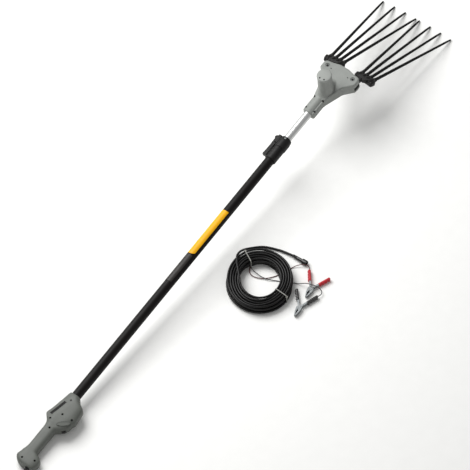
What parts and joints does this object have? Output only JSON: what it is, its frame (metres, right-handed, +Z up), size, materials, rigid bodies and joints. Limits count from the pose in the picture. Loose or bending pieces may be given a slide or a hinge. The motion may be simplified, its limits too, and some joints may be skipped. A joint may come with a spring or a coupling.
{
  "type": "electric olive harvester",
  "caption": "Telescopic electric olive harvester: geared motor head with a pair of swinging tine rakes, flip clamp, trigger handle and coiled battery lead with clips",
  "frame": {"origin": "on the ground below the middle of the harvester as it lies on its tine tips and pommel, without the battery lead", "axes": "+X along the pole from the handle to the rakes, +Y to the left, +Z up"},
  "size_m": [2.3134, 0.5614, 0.2855],
  "materials": {
    "casing": "moulded cool grey plastic",
    "black_plastic": "moulded black plastic",
    "tine": "black pultruded fibre rod",
    "black_tube": "satin black coated tube",
    "bare_tube": "anodised aluminium",
    "steel": "zinc plated steel",
    "bronze": "sintered bronze",
    "nylon": "natural nylon",
    "band": "yellow film",
    "cable": "black cable jacket",
    "red_vinyl": "dipped red vinyl",
    "black_vinyl": "dipped black vinyl",
    "board": "green laminate"
  },
  "bodies": {
    "pole": {"handle_upper_shell": "casing", "handle_lower_shell": "casing", "badge_plate": "casing", "tube_liner": "black_plastic", "pole_clamp": "black_plastic", "trigger_switch": "black_plastic", "power_inlet": "black_plastic", "status_strip": "black_plastic", "plug_body": "black_plastic", "plug_collar": "black_plastic", "lever_pin": "steel", "clamp_screw": "steel", "handle_screws": "steel", "red_jaw_fixed": "steel", "red_clip_pin": "steel", "red_clip_spring": "steel", "black_jaw_fixed": "steel", "black_clip_pin": "steel", "black_clip_spring": "steel", "coil_ties": "nylon", "outer_tube": "black_tube", "pole_band": "band", "cable_coil": "cable", "cable_end": "cable", "black_lead": "cable", "red_lead": "red_vinyl", "red_sleeve_fixed": "red_vinyl", "black_sleeve_fixed": "black_vinyl", "circuit_board": "board"},
    "head": {"head_top_shell": "casing", "head_bottom_shell": "casing", "motor_cap": "casing", "cap_screws": "steel", "motor": "steel", "gear_axle": "steel", "pivot_bolts": "steel", "neck_screws": "steel", "inner_tube": "bare_tube", "slide_bush": "nylon"},
    "drive_gear": {"drive_gear": "nylon"},
    "motor_pinion": {"motor_pinion": "bronze"},
    "rake_left": {"hub_left": "black_plastic", "bush_left": "bronze", "tines_left": "tine"},
    "rake_right": {"hub_right": "black_plastic", "bush_right": "bronze", "tines_right": "tine"},
    "rod_left": {"rod_left": "steel"},
    "rod_right": {"rod_right": "steel"},
    "clamp_lever": {"clamp_lever": "black_plastic"},
    "trigger": {"trigger": "black_plastic"},
    "red_clip": {"red_jaw_moving": "steel", "red_sleeve_moving": "red_vinyl"},
    "black_clip": {"black_jaw_moving": "steel", "black_sleeve_moving": "black_vinyl"}
  },
  "joints": [
    {"name": "pole_extend", "type": "slide", "parent": "pole", "child": "head", "axis": [0.9961, 0, 0.0887], "range_m": [0, 0.85]},
    {"name": "drive_spin", "type": "hinge", "parent": "head", "child": "drive_gear", "pos_m": [0.65986, 0, 0.18017], "axis": [-0.0887, 0, 0.9961], "continuous": true},
    {"name": "pinion_spin", "type": "hinge", "parent": "head", "child": "motor_pinion", "pos_m": [0.62401, 0, 0.17698], "axis": [-0.0887, 0, 0.9961], "continuous": true},
    {"name": "rake_left_swing", "type": "hinge", "parent": "head", "child": "rake_left", "pos_m": [0.70568, 0.053, 0.18425], "axis": [-0.0887, 0, 0.9961], "range_deg": [0, 24]},
    {"name": "rake_right_swing", "type": "hinge", "parent": "head", "child": "rake_right", "pos_m": [0.70568, -0.053, 0.18425], "axis": [-0.0887, 0, 0.9961], "range_deg": [-24, 0]},
    {"name": "rod_left_turn", "type": "hinge", "parent": "rake_left", "child": "rod_left", "pos_m": [0.7005, 0.02855, 0.18379], "axis": [-0.0887, 0, 0.9961], "range_deg": [-24, 0]},
    {"name": "rod_right_turn", "type": "hinge", "parent": "rake_right", "child": "rod_right", "pos_m": [0.7005, -0.02855, 0.18379], "axis": [-0.0887, 0, 0.9961], "range_deg": [0, 24]},
    {"name": "lever_flip", "type": "hinge", "parent": "pole", "child": "clamp_lever", "pos_m": [0.37698, 0.0275, 0.15498], "axis": [-0.0887, 0, 0.9961], "range_deg": [-140, 0]},
    {"name": "trigger_press", "type": "slide", "parent": "pole", "child": "trigger", "axis": [0.6665, 0.7431, 0.0594], "range_m": [0, 0.005], "stiffness_N_per_m": 600},
    {"name": "red_clip_squeeze", "type": "hinge", "parent": "pole", "child": "red_clip", "pos_m": [0.012, -0.372, 0.0085], "axis": [0, 0, 1], "range_deg": [0, 16], "stiffness_Nm_per_rad": 1},
    {"name": "black_clip_squeeze", "type": "hinge", "parent": "pole", "child": "black_clip", "pos_m": [-0.074, -0.386, 0.0085], "axis": [0, 0, 1], "range_deg": [-16, 0], "stiffness_Nm_per_rad": 1}
  ],
  "couplings": [
    {"joint": "pinion_spin", "follows": "drive_spin", "ratio": -3},
    {"joint": "rake_right_swing", "follows": "rake_left_swing", "ratio": -1},
    {"joint": "rod_left_turn", "follows": "rake_left_swing", "ratio": -1},
    {"joint": "rod_right_turn", "follows": "rake_left_swing", "ratio": 1}
  ]
}
